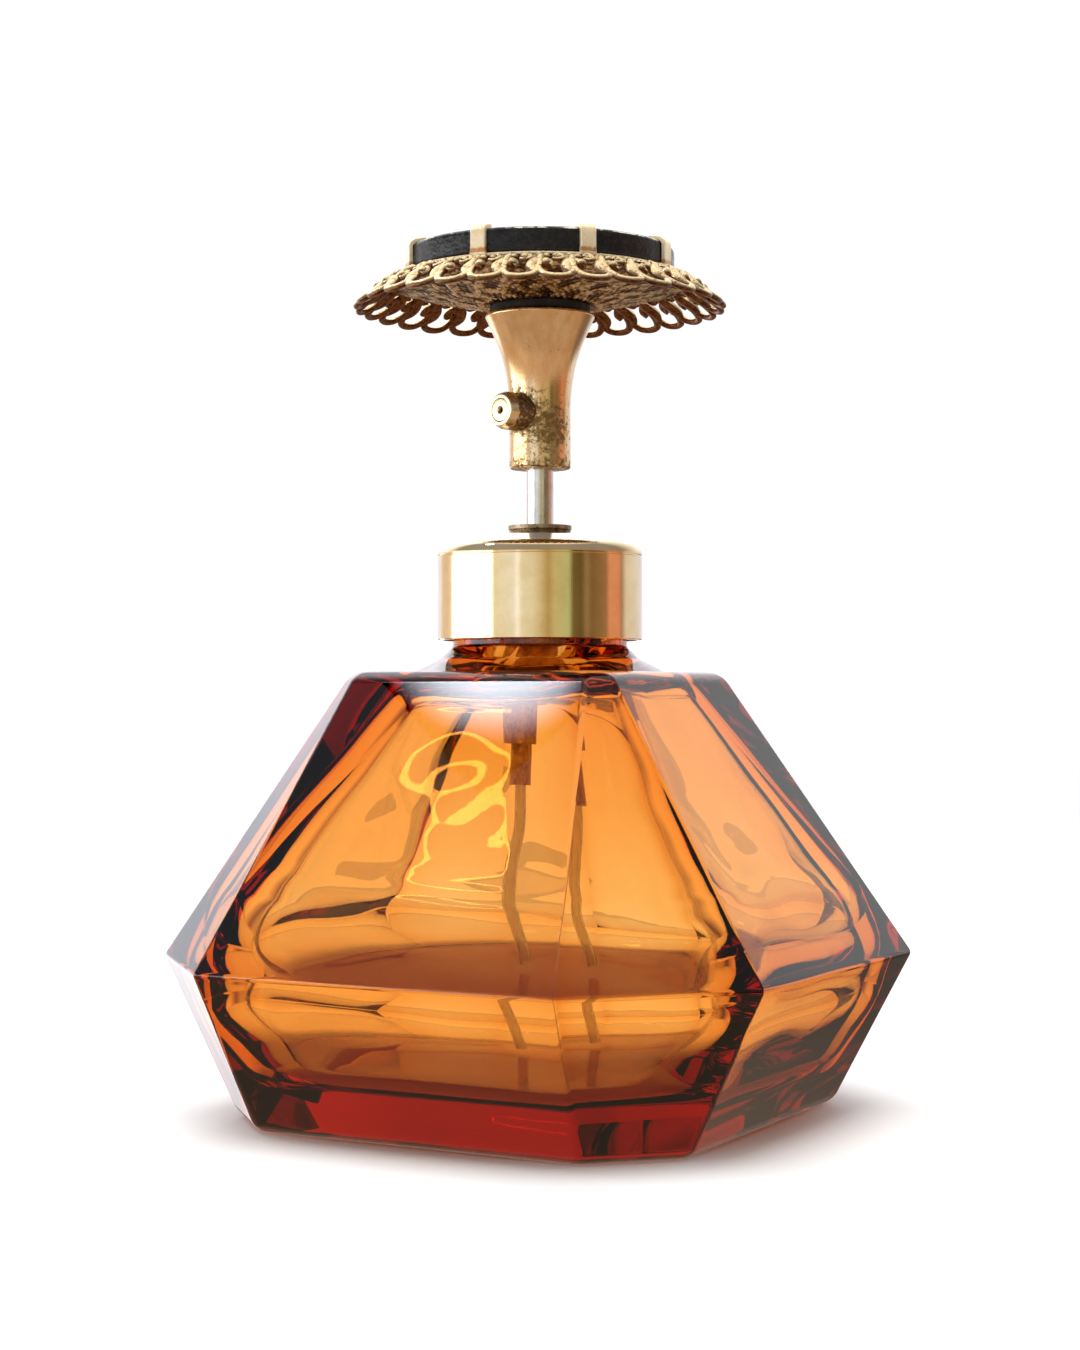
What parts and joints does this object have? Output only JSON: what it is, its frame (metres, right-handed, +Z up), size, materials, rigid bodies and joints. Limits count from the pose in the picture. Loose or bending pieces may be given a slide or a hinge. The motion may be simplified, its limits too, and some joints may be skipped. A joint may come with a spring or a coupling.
{
  "type": "perfume atomiser",
  "caption": "Cut-corner glass perfume bottle with a screw collar and a spring-return finger pump, side nozzle, and a filigree ornament with a claw-set stone on its push head.",
  "frame": {"origin": "centre of the bottle's base, on the surface it stands on", "axes": "+Z up along the pump's axis; X and Y square to the bottle's four wide faces"},
  "size_m": [0.0694, 0.0694, 0.0935],
  "materials": {
    "amber_glass": "polished, amber, darker where it is thick",
    "polished_brass": "polished, pale gold",
    "head_brass": "satin, worn, speckled near the nozzle",
    "pump_brass": "plain turned",
    "dark_brass": "tarnished",
    "aged_brass": "aged, dull, dark in the recesses",
    "gilt_brass": "bright gilt",
    "steel": "plated, satin",
    "seal_rubber": "matt",
    "black_washer": "matt",
    "liner_plastic": "moulded",
    "clear_tube": "translucent",
    "black_stone": "glossy, a few pale chips at its edge"
  },
  "bodies": {
    "glass": {"bottle": "amber_glass"},
    "pump": {"pump_body": "pump_brass", "gland_nut": "dark_brass", "gland_seal": "seal_rubber", "neck_gasket": "seal_rubber", "inlet_fitting": "pump_brass", "ball_cage": "pump_brass", "dip_tube": "clear_tube"},
    "cap": {"collar": "polished_brass", "collar_insert": "liner_plastic"},
    "plunger": {"stem": "steel", "piston": "pump_brass", "piston_seal": "seal_rubber", "return_spring": "steel"},
    "head": {"actuator_head": "head_brass", "head_plug": "pump_brass", "outlet_spring": "steel", "nozzle_body": "head_brass", "nozzle_core": "pump_brass", "nozzle_insert": "head_brass", "seat_washer": "black_washer", "ornament_screw": "steel", "filigree": "aged_brass", "setting": "gilt_brass", "cabochon": "black_stone"},
    "inlet_valve": {"inlet_ball": "steel"},
    "outlet_valve": {"outlet_ball": "steel"}
  },
  "joints": [
    {"name": "closure_lift", "type": "slide", "parent": "glass", "child": "pump", "axis": [0, 0, 1], "range_m": [0, 0.00375]},
    {"name": "collar_turn", "type": "hinge", "parent": "pump", "child": "cap", "pos_m": [0, 0, 0.055], "axis": [0, 0, 1], "range_deg": [0, 450]},
    {"name": "pump_stroke", "type": "slide", "parent": "pump", "child": "plunger", "axis": [0, 0, -1], "range_m": [0, 0.0055], "stiffness_N_per_m": 300, "springref_m": -0.005, "deforming": ["return_spring"]},
    {"name": "head_swivel", "type": "hinge", "parent": "plunger", "child": "head", "pos_m": [0, 0, 0.072], "axis": [0, 0, 1], "continuous": true},
    {"name": "inlet_ball_lift", "type": "slide", "parent": "pump", "child": "inlet_valve", "axis": [0, 0, 1], "range_m": [0, 0.0005]},
    {"name": "outlet_ball_lift", "type": "slide", "parent": "head", "child": "outlet_valve", "axis": [0, 0, 1], "range_m": [0, 0.0005], "stiffness_N_per_m": 40, "springref_m": -0.001, "deforming": ["outlet_spring"]}
  ],
  "couplings": [
    {"joint": "collar_turn", "follows": "closure_lift", "rad_per_m": 2094.4}
  ]
}
